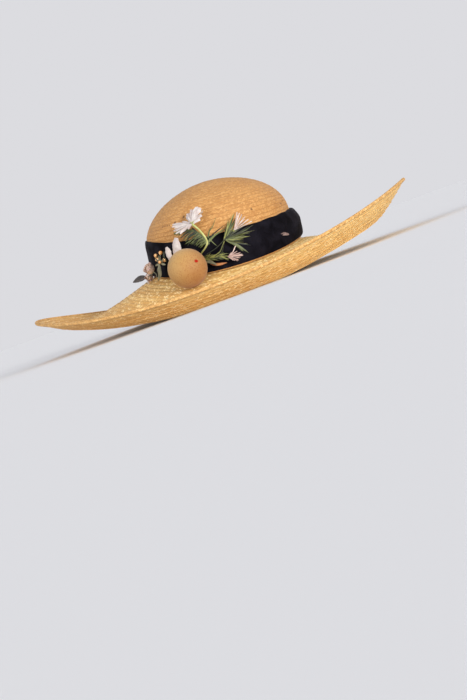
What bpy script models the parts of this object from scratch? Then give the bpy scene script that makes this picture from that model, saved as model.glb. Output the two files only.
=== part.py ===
# Wide brim straw hat with a velvet band and a trim of fruit, flowers and leaves.
# Metres, +Z up. The hat stands crown up on the plane z = 0, which the lowest braid
# row of its brim meets at the front and at the back. -Y is the front of the hat and
# +X is the side whose brim stands highest. Angles run counter-clockwise from +X.

import math

import bmesh
import bpy
import numpy as np
from mathutils import Matrix, Vector
from mathutils.bvhtree import BVHTree

MM = 0.001
GAP = 0.3 * MM  # clearance between pieces that touch
STRAW = 2 * MM  # overlapping rows of sewn straw braid
SLOPE_STEP = 0.5 * MM  # slopes are measured over this far

# Head opening and crown
CROWN_SHIFT = 8 * MM  # the crown sits this far towards +X on the brim
CROWN_TILT = math.radians(2.0)  # and leans this much towards +X
CROWN_HALF_X = 82 * MM  # at the shoulder, outside
CROWN_HALF_Y = 97 * MM
WALL_FLARE = 0.10  # the wall below the shoulder widens by this much of its drop
SHOULDER_HEIGHT = 74 * MM
DOME_RISE = 54 * MM
DOME_POWER = 1.93
CROWN_SEGMENTS = 60
WALL_RINGS = 3
DOME_RINGS = 7

# Brim, one row for each section; angle in degrees, sizes in mm
BRIM_COLUMNS = ("edge_radius", "edge_height", "ridge_radius", "ridge_height", "base_height")
BRIM_SECTIONS = {
    0: (219, 51, 162, 21, 31),
    45: (219, 24, 166, 8, 26),
    90: (218, 7, 172, 0, 25),
    135: (220, 29, 181, 19, 37),
    180: (217, 44, 178, 29, 46),
    225: (217, 26, 171, 12, 37),
    270: (221, 16, 174, 0, 25),
    315: (221, 35, 169, 13, 26),
}
RIDGE_LANE = 5 * MM  # width of the lowest braid row, level across
REST_LIFT = 1.2 * MM  # where the ridge is lower than this, its lowest row lies flat
REST_EASE = 1.5 * MM
EASE_END = 1.25  # the brim is this much steeper at its opening and edge than on average
BRIM_SEGMENTS = 72
INNER_RINGS = 5
OUTER_RINGS = 5
EDGE_BRAID_WIDTH = 3.2 * MM
EDGE_BRAID_HEIGHT = 3.6 * MM
EDGE_BRAID_SIDES = 6

# Bandeau, the straw band inside the head opening
BANDEAU_WALL = 1.6 * MM
BANDEAU_INSIDE = 9 * MM  # its height inside the crown
BANDEAU_LIP = 5 * MM  # its depth below the opening
BANDEAU_DROP = 21 * MM  # what the raised side has more
BANDEAU_POWER = 3
BANDEAU_TAPER = 0.18
BANDEAU_RINGS = 5

# Ribbon
RIBBON_WIDTH = 37.5 * MM
RIBBON_SLANT = 1.5 * MM  # it is this much wider at the -X side and narrower at the +X side
RIBBON_WALL = 1.2 * MM
RIBBON_OFF = 0.5 * MM  # clearance to the straw
RIBBON_PUFF = 4.5 * MM  # how far its fold stands off near the +X side
RIBBON_PUFF_ANGLE = math.radians(-15)
RIBBON_PUFF_POWER = 4  # how soon the fold dies away round the crown
RIBBON_FULLNESS = 0.7  # under 1 gives the fold square shoulders
RIBBON_LIFT = 1.2 * MM  # its lower edge over the brim
RIBBON_RINGS = 6

# Trim on the front. Points are (angle round the crown in degrees, height over the rest
# plane in mm, distance off the crown's outside in mm), and widths are in mm.
FRUIT_RADIUS = 21 * MM
FRUIT_PLACE = (249, 39, 26)
TRIM_GAP = 0.35 * MM
TRIM_START = 60 * MM  # each piece comes in from this far off the crown until it touches
TRIM_SLACK = 0.02 * MM
SPINDLE_STATIONS = 7
SPINDLE_SIDES = 8
SPINDLE_COLUMNS = ("path", "width", "thick", "form", "slot")
SPINDLES = {
    "petal_upper": (((240, 56, 4), (242, 67, 4), (243, 77, 4)), 10, 1.4, "petal", "petal_white"),
    "petal_lower": (((234, 54, 4), (231, 63, 4), (229, 72, 4)), 9, 1.4, "petal", "petal_white"),
    "feather_leaf": (
        ((262, 60, 5), (257, 70, 5), (249, 77, 5), (240, 80, 4)), 13, 2.0, "leaf", "needle_green"
    ),
    "grass_blades": (((263, 66, 4), (266, 73, 4), (271, 83, 4)), 9, 1.4, "fan", "needle_green"),
    "berry_calyx": (((228, 50, 5), (225, 56, 6), (222, 61, 7)), 8, 4.0, "bud", "olive_green"),
    "olive_leaf": (((222, 57, 7), (216, 51, 7), (209, 45, 8)), 7, 2.0, "leaf", "olive_green"),
    "sprig_lower": (((258, 45, 6), (266, 43, 7), (273, 42, 9)), 9, 5.0, "leaf", "needle_green"),
    "sprig_upper": (
        ((261, 52, 6), (270, 57, 7), (280, 60, 8), (288, 62, 9)), 38, 5.0, "spray", "needle_green"
    ),
    "brush_flower_lower": (((273, 41, 10), (276, 40, 11), (280, 39, 12)), 13, 5.0, "fan", "petal_pink"),
    "brush_flower_upper": (((277, 62, 12), (282, 68, 12), (287, 75, 12)), 12, 3.0, "fan", "petal_pink"),
    "rosebud_upper": (((210, 53, 8), (206, 53, 9), (202, 54, 10)), 12, 11.0, "bud", "rose_pink"),
    "rosebud_lower": (((200, 46, 7), (194, 46, 8), (189, 47, 9)), 9, 8.0, "bud", "rose_pink"),
    "dark_leaf": (((196, 47, 5), (190, 46, 12), (186, 45, 19)), 11, 1.6, "leaf", "dark_leaf"),
    "band_petal": (((310, 41, 4), (314, 43, 4), (318, 45, 4)), 6, 1.4, "petal", "petal_pink"),
    "flower_stem": (
        ((256, 52, 8), (260, 56, 11), (263, 63, 14), (262, 71, 15), (258, 80, 16)),
        1.9, 1.9, "stem", "stem_green",
    ),
}
# White flower, seen from its side: a shallow cone round its own axis
FLOWER_PLACE = (257, 80, 20)
FLOWER_RADIUS = 17 * MM
FLOWER_DEPTH = 6 * MM
FLOWER_AXIS = (-0.30, -0.12, 0.94)
FLOWER_SIDES = 12
FLOWER_COLUMNS = ("radius", "rise")  # shares of the flower's radius and depth
FLOWER_PROFILE = ((0.25, 0.3), (0.7, 0.45), (1.0, 0.8), (0.95, 1.0), (0.5, 0.8))
FLOWER_HOLLOW = 0.7  # share of the depth at its middle
BERRY_RADIUS = 2.2 * MM
BERRY_PLACES = ((224, 66, 8), (217, 65, 8), (221, 60, 11), (228, 57, 10))


# Tables and shared geometry

def fourier(rows, columns, name):
    # a smooth periodic curve through one column of evenly spaced sections
    values = [row[columns.index(name)] * MM for row in rows.values()]
    terms = np.fft.rfft(values) / len(values)
    half = len(values) // 2

    def at(angle):
        total = terms[0].real
        for k in range(1, half):
            total += 2 * (terms[k] * complex(math.cos(k * angle), math.sin(k * angle))).real
        return total + terms[half].real * math.cos(half * angle)

    return at


BRIM = {name: fourier(BRIM_SECTIONS, BRIM_COLUMNS, name) for name in BRIM_COLUMNS}


def oval(half_x, half_y, angle):
    return 1 / math.hypot(math.cos(angle) / half_x, math.sin(angle) / half_y)


def ease(share):
    # from 0 to 1, level at its start and EASE_END times the mean slope at its end
    share = max(share, 0.0)
    return (3 - EASE_END) * share**2 + (EASE_END - 2) * share**3


def wall_half(height, inset=0.0):
    # half widths of the crown's wall and dome at a height over the rest plane
    if height <= SHOULDER_HEIGHT:
        flare = (SHOULDER_HEIGHT - height) * WALL_FLARE
        return CROWN_HALF_X + flare - inset, CROWN_HALF_Y + flare - inset
    share = min((height - SHOULDER_HEIGHT) / (DOME_RISE - inset), 1.0)
    narrow = (1 - share**DOME_POWER) ** (1 / DOME_POWER)
    return (CROWN_HALF_X - inset) * narrow, (CROWN_HALF_Y - inset) * narrow


def crown_point(angle, height, off=0.0):
    # a point of the crown's outside, moved off it by the given distance
    half_x, half_y = wall_half(height)
    radius = oval(half_x, half_y, angle) if half_x > 1e-6 else 0.0
    if off:
        above = oval(*wall_half(height + SLOPE_STEP), angle)
        slope = (radius - above) / SLOPE_STEP
        radius += off / math.hypot(1, slope)
        height += off * slope / math.hypot(1, slope)
    upright = Vector((radius * math.cos(angle), radius * math.sin(angle), height - SHOULDER_HEIGHT))
    turned = Matrix.Rotation(CROWN_TILT, 4, "Y") @ upright
    return turned + Vector((CROWN_SHIFT, 0, SHOULDER_HEIGHT))


def crown_middle(height):
    # where the leaning crown's axis passes a height
    return CROWN_SHIFT + (height - SHOULDER_HEIGHT) * math.tan(CROWN_TILT)


def opening_radius(angle):
    height = BRIM["base_height"](angle)
    return oval(*wall_half(height, STRAW), angle)


def rest_height(angle):
    # height of the ridge, with its lowest stretches flat on the rest plane
    lift = max(0.0, BRIM["ridge_height"](angle) - REST_LIFT)
    return lift * lift / (lift + REST_EASE)


def brim_section(angle, radius):
    # height of the brim's underside at a radius, and its slope there
    inner, edge = opening_radius(angle), BRIM["edge_radius"](angle)
    ridge, low = BRIM["ridge_radius"](angle), rest_height(angle)

    def height(r):
        inside = ease((ridge - RIDGE_LANE / 2 - r) / (ridge - RIDGE_LANE / 2 - inner))
        outside = ease((r - ridge - RIDGE_LANE / 2) / (edge - ridge - RIDGE_LANE / 2))
        return (
            low
            + (BRIM["base_height"](angle) - low) * inside
            + (BRIM["edge_height"](angle) - low) * outside
        )

    rise = height(radius + SLOPE_STEP) - height(radius - SLOPE_STEP)
    return height(radius), rise / (2 * SLOPE_STEP)


def brim_point(angle, radius, off=0.0):
    # a point of the brim's underside, moved up off it by the given distance
    inner, edge = opening_radius(angle), BRIM["edge_radius"](angle)
    height, slope = brim_section(angle, radius)
    share = (radius - inner) / (edge - inner)
    radius -= off * slope / math.hypot(1, slope)
    height += off / math.hypot(1, slope)
    middle = crown_middle(BRIM["base_height"](angle)) * (1 - share)
    return Vector((middle + radius * math.cos(angle), radius * math.sin(angle), height))


def inner_radii(angle):
    # the slope from the head opening down to the ridge, with the level lowest row
    inner, ridge = opening_radius(angle), BRIM["ridge_radius"](angle)
    low_in = ridge - RIDGE_LANE / 2
    slope = [inner + (low_in - inner) * k / INNER_RINGS for k in range(INNER_RINGS + 1)]
    return slope + [ridge + RIDGE_LANE / 2]


def outer_radii(angle):
    # the turned-up part from the ridge to the edge
    low_out, edge = BRIM["ridge_radius"](angle) + RIDGE_LANE / 2 + GAP, BRIM["edge_radius"](angle)
    return [low_out + (edge - low_out) * k / OUTER_RINGS for k in range(OUTER_RINGS + 1)]


def angles(count):
    return [2 * math.pi * k / count for k in range(count)]


# Mesh building

def material(name, colour, roughness, metallic=0.0):
    made = bpy.data.materials.get(name)
    if made:
        return made
    made = bpy.data.materials.new(name)
    made.use_nodes = True
    shader = made.node_tree.nodes["Principled BSDF"]
    shader.inputs["Base Color"].default_value = (*colour, 1.0)
    shader.inputs["Roughness"].default_value = roughness
    shader.inputs["Metallic"].default_value = metallic
    made.diffuse_color = (*colour, 1.0)
    return made


def add(name, mesh, made_of, sharp=40):
    piece = bpy.data.objects.new(name, mesh)
    bpy.context.scene.collection.objects.link(piece)
    mesh.materials.append(made_of)
    mesh.shade_smooth()
    mesh.set_sharp_from_angle(angle=math.radians(sharp))
    return piece


def to_mesh(name, bm):
    bmesh.ops.recalc_face_normals(bm, faces=bm.faces)
    mesh = bpy.data.meshes.new(name)
    bm.to_mesh(mesh)
    bm.free()
    return mesh


def bridged(bm, rings, closed=False):
    # joins rings of points with quads
    made = [[bm.verts.new(p) for p in ring] for ring in rings]
    pairs = list(zip(made, made[1:]))
    if closed:
        pairs.append((made[-1], made[0]))
    for one, two in pairs:
        count = len(one)
        for k in range(count):
            bm.faces.new((one[k], one[(k + 1) % count], two[(k + 1) % count], two[k]))
    return made


def shell(name, outer, inner):
    # a wall between two stacks of rings, closed along both rims
    bm = bmesh.new()
    bridged(bm, outer + inner[::-1], closed=True)
    return to_mesh(name, bm)


def cap(bm, ring, tip):
    top = bm.verts.new(tip)
    for k in range(len(ring)):
        bm.faces.new((ring[k], ring[(k + 1) % len(ring)], top))


# Straw pieces

def make_brim(name, radii):
    # one ring of the brim; radii gives its rings of points at an angle
    turn = angles(BRIM_SEGMENTS)
    count = len(radii(0.0))
    under = [[brim_point(a, radii(a)[k]) for a in turn] for k in range(count)]
    upper = [[brim_point(a, radii(a)[k], STRAW) for a in turn] for k in range(count)]
    return add(name, shell(name, under, upper), STRAW_NATURAL)


def edge_centre(angle):
    edge = BRIM["edge_radius"](angle)
    _, slope = brim_section(angle, edge - MM)
    out = (EDGE_BRAID_WIDTH / 2 + GAP) / math.hypot(1, slope)
    up = STRAW / 2
    radius = edge + out - up * slope / math.hypot(1, slope)
    height = BRIM["edge_height"](angle) + out * slope + up / math.hypot(1, slope)
    return radius, height, slope


def make_brim_edge():
    rings = []
    for k in range(EDGE_BRAID_SIDES):
        around = 2 * math.pi * (k + 0.5) / EDGE_BRAID_SIDES
        along, across = math.cos(around), math.sin(around)
        ring = []
        for a in angles(BRIM_SEGMENTS):
            radius, height, slope = edge_centre(a)
            lean = math.atan(slope)
            wide, tall = along * EDGE_BRAID_WIDTH / 2, across * EDGE_BRAID_HEIGHT / 2
            r = radius + wide * math.cos(lean) - tall * math.sin(lean)
            z = height + wide * math.sin(lean) + tall * math.cos(lean)
            ring.append(Vector((r * math.cos(a), r * math.sin(a), z)))
        rings.append(ring)
    bm = bmesh.new()
    bridged(bm, rings, closed=True)
    return add("brim_edge", to_mesh("brim_edge", bm), STRAW_NATURAL, sharp=80)


def crown_foot(angle):
    # height where the crown's wall meets the brim's upper face
    _, slope = brim_section(angle, opening_radius(angle))
    tilt = math.sin(CROWN_TILT) * (oval(*wall_half(BRIM["base_height"](angle)), angle) * math.cos(angle))
    return BRIM["base_height"](angle) + STRAW * math.hypot(1, slope) + GAP + tilt


def crown_heights(angle, inset=0.0):
    foot = crown_foot(angle)
    wall = [foot + (SHOULDER_HEIGHT - foot) * k / WALL_RINGS for k in range(WALL_RINGS)]
    dome = [
        SHOULDER_HEIGHT + (DOME_RISE - inset) * math.sin(math.pi / 2 * k / DOME_RINGS)
        for k in range(DOME_RINGS)
    ]
    return wall + dome


def crown_ring(k, inset):
    ring = []
    for a in angles(CROWN_SEGMENTS):
        height = crown_heights(a, inset)[k]
        radius = oval(*wall_half(height, inset), a)
        upright = Vector((radius * math.cos(a), radius * math.sin(a), height - SHOULDER_HEIGHT))
        ring.append(
            Matrix.Rotation(CROWN_TILT, 4, "Y") @ upright + Vector((CROWN_SHIFT, 0, SHOULDER_HEIGHT))
        )
    return ring


def crown_tip(inset):
    rise = Matrix.Rotation(CROWN_TILT, 4, "Y") @ Vector((0, 0, DOME_RISE - inset))
    return rise + Vector((CROWN_SHIFT, 0, SHOULDER_HEIGHT))


def make_crown():
    count = WALL_RINGS + DOME_RINGS
    bm = bmesh.new()
    outer = bridged(bm, [crown_ring(k, 0.0) for k in range(count)])
    inner = bridged(bm, [crown_ring(k, STRAW) for k in range(count)])
    segments = CROWN_SEGMENTS
    for k in range(segments):
        n = (k + 1) % segments
        bm.faces.new((outer[0][k], outer[0][n], inner[0][n], inner[0][k]))
    cap(bm, outer[-1], crown_tip(0.0))
    cap(bm, inner[-1], crown_tip(STRAW))
    return add("crown", to_mesh("crown", bm), STRAW_NATURAL)


def bandeau_depth(angle):
    raised = max(0.0, math.cos(angle)) ** BANDEAU_POWER
    return BANDEAU_LIP + BANDEAU_DROP * raised


def bandeau_ring(k, inset):
    # k runs from the top edge inside the crown to the rim
    share = k / BANDEAU_RINGS
    ring = []
    for a in angles(CROWN_SEGMENTS):
        base = BRIM["base_height"](a)
        height = base + BANDEAU_INSIDE - (BANDEAU_INSIDE + bandeau_depth(a)) * share
        above = max(base, height)
        half_x, half_y = wall_half(above + STRAW, STRAW + 2 * GAP + inset)
        below = max(0.0, base - height)
        taper = BANDEAU_TAPER * below**2 / (bandeau_depth(0.0))
        radius = oval(half_x - taper, half_y - taper, a)
        ring.append(Vector((crown_middle(base) + radius * math.cos(a), radius * math.sin(a), height)))
    return ring


def make_bandeau():
    outer = [bandeau_ring(k, 0.0) for k in range(BANDEAU_RINGS + 1)]
    inner = [bandeau_ring(k, BANDEAU_WALL) for k in range(BANDEAU_RINGS + 1)]
    return add("bandeau", shell("bandeau", outer, inner), STRAW_NATURAL)


# Ribbon

def ribbon_off(angle, share):
    # how far the ribbon's inside stands off the crown, share 0 at its lower edge
    raised = max(0.0, math.cos(angle - RIBBON_PUFF_ANGLE)) ** RIBBON_PUFF_POWER
    return RIBBON_OFF + RIBBON_PUFF * raised * max(0.0, math.sin(math.pi * share)) ** RIBBON_FULLNESS


def ribbon_ring(k, extra):
    share = k / RIBBON_RINGS
    ring = []
    for a in angles(CROWN_SEGMENTS):
        width = RIBBON_WIDTH - RIBBON_SLANT * math.cos(a)
        height = crown_foot(a) + RIBBON_LIFT + width * share
        ring.append(crown_point(a, height, ribbon_off(a, share) + extra))
    return ring


def make_hat_band():
    outer = [ribbon_ring(k, RIBBON_WALL) for k in range(RIBBON_RINGS + 1)]
    inner = [ribbon_ring(k, 0.0) for k in range(RIBBON_RINGS + 1)]
    return add("hat_band", shell("hat_band", outer, inner), VELVET)


# Trim

def crown_spot(place):
    angle, height, off = place
    return crown_point(math.radians(angle), height * MM, off * MM)


def crown_out(point):
    # the level direction away from the crown's axis
    middle = Vector((crown_middle(point.z), 0, point.z))
    return (point - middle).normalized()


def smooth_path(points, count):
    # Catmull-Rom curve through the points, with straight runs at its ends
    full = [2 * points[0] - points[1], *points, 2 * points[-1] - points[-2]]
    spans = len(points) - 1
    made = []
    for k in range(count + 1):
        at = k / count * spans
        i = min(int(at), spans - 1)
        t = at - i
        a, b, c, d = full[i : i + 4]
        made.append(
            0.5 * (2 * b + (c - a) * t + (2 * a - 5 * b + 4 * c - d) * t**2 + (3 * b - a - 3 * c + d) * t**3)
        )
    return made


FORMS = {
    "petal": lambda t: math.sin(math.pi * t**1.25) ** 0.7,
    "leaf": lambda t: math.sin(math.pi * t**0.8) ** 0.8,
    "bud": lambda t: math.sin(math.pi * t) ** 0.5,
    "fan": lambda t: 0.12 + 0.88 * math.sin(math.pi * min(t * 0.62, 1.0)) ** 1.3,
    "spray": lambda t: 0.07 + 0.93 * math.sin(math.pi / 2 * min(max(t - 0.3, 0.0) / 0.45, 1.0)) ** 1.5,
    "stem": lambda t: 1.0,
}


def make_spindle(name, path, width, thick, form, slot):
    # a closed solid along a path, as wide as its form says at each station
    centres = smooth_path([crown_spot(p) for p in path], SPINDLE_STATIONS)
    bm = bmesh.new()
    rings = []
    for k in range(1, SPINDLE_STATIONS):
        t = k / SPINDLE_STATIONS
        along = (centres[k + 1] - centres[k - 1]).normalized()
        out = crown_out(centres[k])
        side = along.cross(out).normalized()
        out = side.cross(along)
        wide = width * MM / 2 * FORMS[form](t)
        deep = thick * MM / 2 * (FORMS[form](t) if form in ("bud", "stem") else FORMS[form](t) ** 0.5)
        ring = []
        for turn in angles(SPINDLE_SIDES):
            ring.append(centres[k] + side * wide * math.cos(turn) + out * deep * math.sin(turn))
        rings.append(ring)
    made = bridged(bm, rings)
    cap(bm, made[0], centres[0])
    cap(bm, made[-1], centres[-1])
    piece = add(name, to_mesh(name, bm), SLOTS[slot])
    seat(piece)
    return piece


def make_ball(name, place, radius, slot, turns=12, rings=8):
    bm = bmesh.new()
    bmesh.ops.create_uvsphere(bm, u_segments=turns, v_segments=rings, radius=radius)
    bmesh.ops.translate(bm, verts=bm.verts, vec=crown_spot(place))
    piece = add(name, to_mesh(name, bm), SLOTS[slot])
    seat(piece)
    return piece


def make_white_flower():
    axis = Vector(FLOWER_AXIS).normalized()
    side = axis.orthogonal().normalized()
    other = axis.cross(side)
    centre = crown_spot(FLOWER_PLACE)
    rings = []
    for radius, rise in FLOWER_PROFILE:
        ring = []
        for turn in angles(FLOWER_SIDES):
            out = side * math.cos(turn) + other * math.sin(turn)
            ring.append(centre + out * radius * FLOWER_RADIUS + axis * rise * FLOWER_DEPTH)
        rings.append(ring)
    bm = bmesh.new()
    made = bridged(bm, rings)
    cap(bm, made[0], centre)
    cap(bm, made[-1], centre + axis * FLOWER_HOLLOW * FLOWER_DEPTH)
    piece = add("white_flower", to_mesh("white_flower", bm), SLOTS["petal_white"])
    seat(piece)
    return piece


def surface(piece):
    # the piece's world points and a search tree of its faces
    points = [piece.matrix_world @ v.co for v in piece.data.vertices]
    faces = [tuple(p.vertices) for p in piece.data.polygons]
    return points, BVHTree.FromPolygons(points, faces)


def seat(piece):
    # brings the piece straight in towards the crown's axis until it touches what is there
    middle = sum((v.co for v in piece.data.vertices), Vector()) / len(piece.data.vertices)
    inward = -crown_out(middle)
    others = [surface(o) for o in bpy.data.objects if o is not piece]
    start = [v.co - inward * TRIM_START for v in piece.data.vertices]
    faces = [tuple(p.vertices) for p in piece.data.polygons]
    moved = 0.0
    while moved < 2 * TRIM_START:
        points = [p + inward * moved for p in start]
        tree = BVHTree.FromPolygons(points, faces)
        gap = 2 * TRIM_START
        for other_points, other_tree in others:
            for p in points:
                found = other_tree.find_nearest(p, gap)
                if found[0] is not None:
                    gap = min(gap, found[3])
            for p in other_points:
                found = tree.find_nearest(p, gap)
                if found[0] is not None:
                    gap = min(gap, found[3])
        if gap < TRIM_GAP + TRIM_SLACK:
            break
        moved += gap - TRIM_GAP
    for v in piece.data.vertices:
        v.co += inward * (moved - TRIM_START)


for old in list(bpy.data.objects):
    bpy.data.objects.remove(old, do_unlink=True)

STRAW_NATURAL = material("straw", (0.70, 0.43, 0.17), 0.55)
VELVET = material("velvet", (0.012, 0.011, 0.02), 0.85)
SLOTS = {
    "fruit": material("fruit", (0.83, 0.55, 0.23), 0.6),
    "petal_white": material("petal_white", (0.86, 0.80, 0.76), 0.7),
    "petal_pink": material("petal_pink", (0.80, 0.62, 0.52), 0.7),
    "rose_pink": material("rose_pink", (0.72, 0.50, 0.40), 0.7),
    "needle_green": material("needle_green", (0.07, 0.11, 0.035), 0.6),
    "stem_green": material("stem_green", (0.60, 0.60, 0.28), 0.6),
    "olive_green": material("olive_green", (0.20, 0.19, 0.10), 0.7),
    "dark_leaf": material("dark_leaf", (0.07, 0.06, 0.055), 0.8),
    "berry_orange": material("berry_orange", (0.80, 0.42, 0.14), 0.35),
}

make_brim("brim_inner", inner_radii)
make_brim("brim_outer", outer_radii)
make_brim_edge()
make_crown()
make_bandeau()
make_hat_band()
for spindle, row in SPINDLES.items():
    make_spindle(spindle, *row)
for number, berry_place in enumerate(BERRY_PLACES, 1):
    make_ball(f"berry_{number}", berry_place, BERRY_RADIUS, "berry_orange")
make_white_flower()
make_ball("fruit", FRUIT_PLACE, FRUIT_RADIUS, "fruit", turns=24, rings=14)
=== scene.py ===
import math

import bpy
import numpy as np
from mathutils import Matrix, Vector


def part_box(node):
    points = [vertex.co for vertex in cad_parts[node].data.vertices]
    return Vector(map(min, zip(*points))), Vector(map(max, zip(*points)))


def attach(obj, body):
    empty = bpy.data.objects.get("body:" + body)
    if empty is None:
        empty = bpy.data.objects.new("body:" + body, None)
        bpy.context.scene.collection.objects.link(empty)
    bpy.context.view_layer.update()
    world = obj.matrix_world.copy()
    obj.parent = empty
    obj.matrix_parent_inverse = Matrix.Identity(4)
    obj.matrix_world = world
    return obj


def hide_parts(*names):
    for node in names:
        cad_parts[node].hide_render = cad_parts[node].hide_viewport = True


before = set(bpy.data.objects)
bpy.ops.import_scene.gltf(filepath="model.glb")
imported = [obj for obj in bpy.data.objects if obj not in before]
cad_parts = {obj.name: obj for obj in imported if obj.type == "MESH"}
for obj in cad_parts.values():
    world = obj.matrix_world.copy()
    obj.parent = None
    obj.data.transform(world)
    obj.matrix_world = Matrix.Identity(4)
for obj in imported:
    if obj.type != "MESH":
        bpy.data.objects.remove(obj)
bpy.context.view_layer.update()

mm = 0.001
tau = 2 * math.pi
scene = bpy.context.scene
rng = np.random.default_rng(41)
print("hat: frame loaded")


def newObject(name, data):
    made = bpy.data.objects.new(name, data)
    scene.collection.objects.link(made)
    return made


# camera: the photo's side and roll, just over the floor; hatAt and nudge are in pixels of the frame
view = {
    "distance": 1.85, "height": 0.030, "aimHeight": 0.0515, "roll": 0.3547, "pixel": 1.12 * mm,
    "frameHeight": 700, "hatAt": (-13.5, 100), "nudge": (2.0, -0.1), "sensor": 36, "farEnd": 500,
}


def makeCamera():
    focal = view["distance"] / view["pixel"]
    rise = math.asin((view["aimHeight"] - view["height"]) / view["distance"])
    pan, tip = (math.atan(off / focal) for off in view["hatAt"])
    place = Matrix.Translation((0, -view["distance"] * math.cos(rise), view["height"]))
    for turn, axis in ((math.pi / 2 + rise, "X"), (-view["roll"], "Z"), (-tip, "X"), (pan, "Y")):
        place = place @ Matrix.Rotation(turn, 4, axis)
    lens = bpy.data.cameras.new("camera")
    lens.sensor_fit, lens.sensor_height, lens.clip_end = "VERTICAL", view["sensor"], view["farEnd"]
    lens.lens = focal * view["sensor"] / view["frameHeight"]
    lens.shift_x, lens.shift_y = (off / view["frameHeight"] for off in view["nudge"])
    scene.camera = newObject("camera", lens)
    scene.camera.matrix_world = place


makeCamera()

# surfaces of the hat, as the frame has them; a column holds one value in mm every 45 degrees from +X.
# wander, swell and billow are how uneven the rows of braid lie, cell the length of one plait cell
brim = {
    "edgeRadius": (219, 219, 218, 220, 217, 217, 221, 221),
    "edgeHeight": (51, 24, 7, 29, 44, 26, 16, 35),
    "ridgeRadius": (162, 166, 172, 181, 178, 171, 174, 169),
    "ridgeHeight": (21, 8, 0, 19, 29, 12, 0, 13),
    "baseHeight": (31, 26, 25, 37, 46, 37, 25, 26),
    "lane": 5 * mm, "restLift": 1.2 * mm, "restEase": 1.5 * mm, "endSlope": 1.25, "wall": 2 * mm,
    "rows": 26, "segments": 300, "cell": 3.0 * mm, "lap": 0.45 * mm, "dip": 0.65,
    "wander": 0.09, "swell": 0.10 * mm, "billow": 0.30 * mm, "floorGap": 0.03 * mm,
}
crown = {
    "shift": 8 * mm, "lean": math.radians(2), "halfX": 82 * mm, "halfY": 97 * mm, "flare": 0.10,
    "shoulder": 74 * mm, "rise": 54 * mm, "power": 1.93, "wall": 2 * mm, "gap": 0.3 * mm,
    "rows": 33, "segments": 240, "cell": 2.1 * mm, "lap": 0.25 * mm, "dip": 0.4,
    "wander": 0.07, "swell": 0.06 * mm, "billow": 0.16 * mm,
}
bandeau = {
    "wall": 1.6 * mm, "inside": 9 * mm, "lip": 5 * mm, "drop": 21 * mm, "power": 3, "taper": 0.18,
    "rows": 6, "segments": 240, "cell": 1.6 * mm, "lap": 0.4 * mm, "dip": 0.7,
    "wander": 0.0, "swell": 0.05 * mm, "billow": 0.05 * mm,
}
slopeStep = 0.5 * mm


def roundTurn(count):
    return tau * np.arange(count) / count


def curveOf(name, angle):
    # a column of the brim as a smooth closed curve
    terms = np.fft.rfft(np.array(brim[name]) * mm) / 8
    total = terms[0].real + terms[4].real * np.cos(4 * angle)
    return total + sum(2 * (terms[k] * np.exp(1j * k * angle)).real for k in (1, 2, 3))


def around(side, other, turn):
    return side * np.cos(turn) + other * np.sin(turn)


def oval(halves, angle):
    return 1 / np.hypot(np.cos(angle) / halves[0], np.sin(angle) / halves[1])


def wallHalf(height, inset=0.0):
    # half widths of the crown at a height, before its lean
    widened = np.clip(crown["shoulder"] - height, 0, None) * crown["flare"]
    share = np.clip((height - crown["shoulder"]) / (crown["rise"] - inset), 0, 0.99999)
    narrow = (1 - share ** crown["power"]) ** (1 / crown["power"])
    return (crown["halfX"] - inset) * narrow + widened, (crown["halfY"] - inset) * narrow + widened


def polar(middle, radius, angle, height):
    return np.stack([middle + radius * np.cos(angle), radius * np.sin(angle), height + 0 * angle], axis=-1)


def leant(radius, angle, height):
    # a point of the upright crown, turned with its lean
    c, s = math.cos(crown["lean"]), math.sin(crown["lean"])
    x, z = radius * np.cos(angle), height - crown["shoulder"]
    turned = [x * c + z * s + crown["shift"], radius * np.sin(angle), z * c - x * s + crown["shoulder"]]
    return np.stack(turned, axis=-1)


def crownMiddle(height):
    return crown["shift"] + (height - crown["shoulder"]) * math.tan(crown["lean"])


def crownPoint(angle, height, off=0.0):
    radius = oval(wallHalf(height), angle)
    slope = (radius - oval(wallHalf(height + slopeStep), angle)) / slopeStep
    reach = off / np.hypot(1, slope)
    return leant(radius + reach, angle, height + reach * slope)


def openingRadius(angle):
    return oval(wallHalf(curveOf("baseHeight", angle), brim["wall"]), angle)


def eased(share):
    share = np.clip(share, 0, None)
    return (3 - brim["endSlope"]) * share**2 + (brim["endSlope"] - 2) * share**3


def brimHeight(angle, radius):
    # low at the ridge that the hat rests on, and up to the head opening and to the edge from there
    lift = np.clip(curveOf("ridgeHeight", angle) - brim["restLift"], 0, None)
    low = lift * lift / (lift + brim["restEase"])
    ridge, half = curveOf("ridgeRadius", angle), brim["lane"] / 2
    inside = eased((ridge - half - radius) / (ridge - half - openingRadius(angle)))
    outside = eased((radius - ridge - half) / (curveOf("edgeRadius", angle) - ridge - half))
    base, top = curveOf("baseHeight", angle), curveOf("edgeHeight", angle)
    return low + (base - low) * inside + (top - low) * outside


def brimSurface(angle, share):
    # the brim's underside, share 0 at the head opening and 1 at the edge
    inner = openingRadius(angle)
    radius = inner + (curveOf("edgeRadius", angle) - inner) * share
    middle = crownMiddle(curveOf("baseHeight", angle)) * (1 - share)
    return polar(middle, radius, angle, brimHeight(angle, radius))


def brimSlope(angle, radius):
    return (brimHeight(angle, radius + slopeStep) - brimHeight(angle, radius - slopeStep)) / (2 * slopeStep)


def crownFoot(angle):
    base = curveOf("baseHeight", angle)
    tilt = math.sin(crown["lean"]) * oval(wallHalf(base), angle) * np.cos(angle)
    return base + crown["wall"] * np.hypot(1, brimSlope(angle, openingRadius(angle))) + crown["gap"] + tilt


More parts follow.
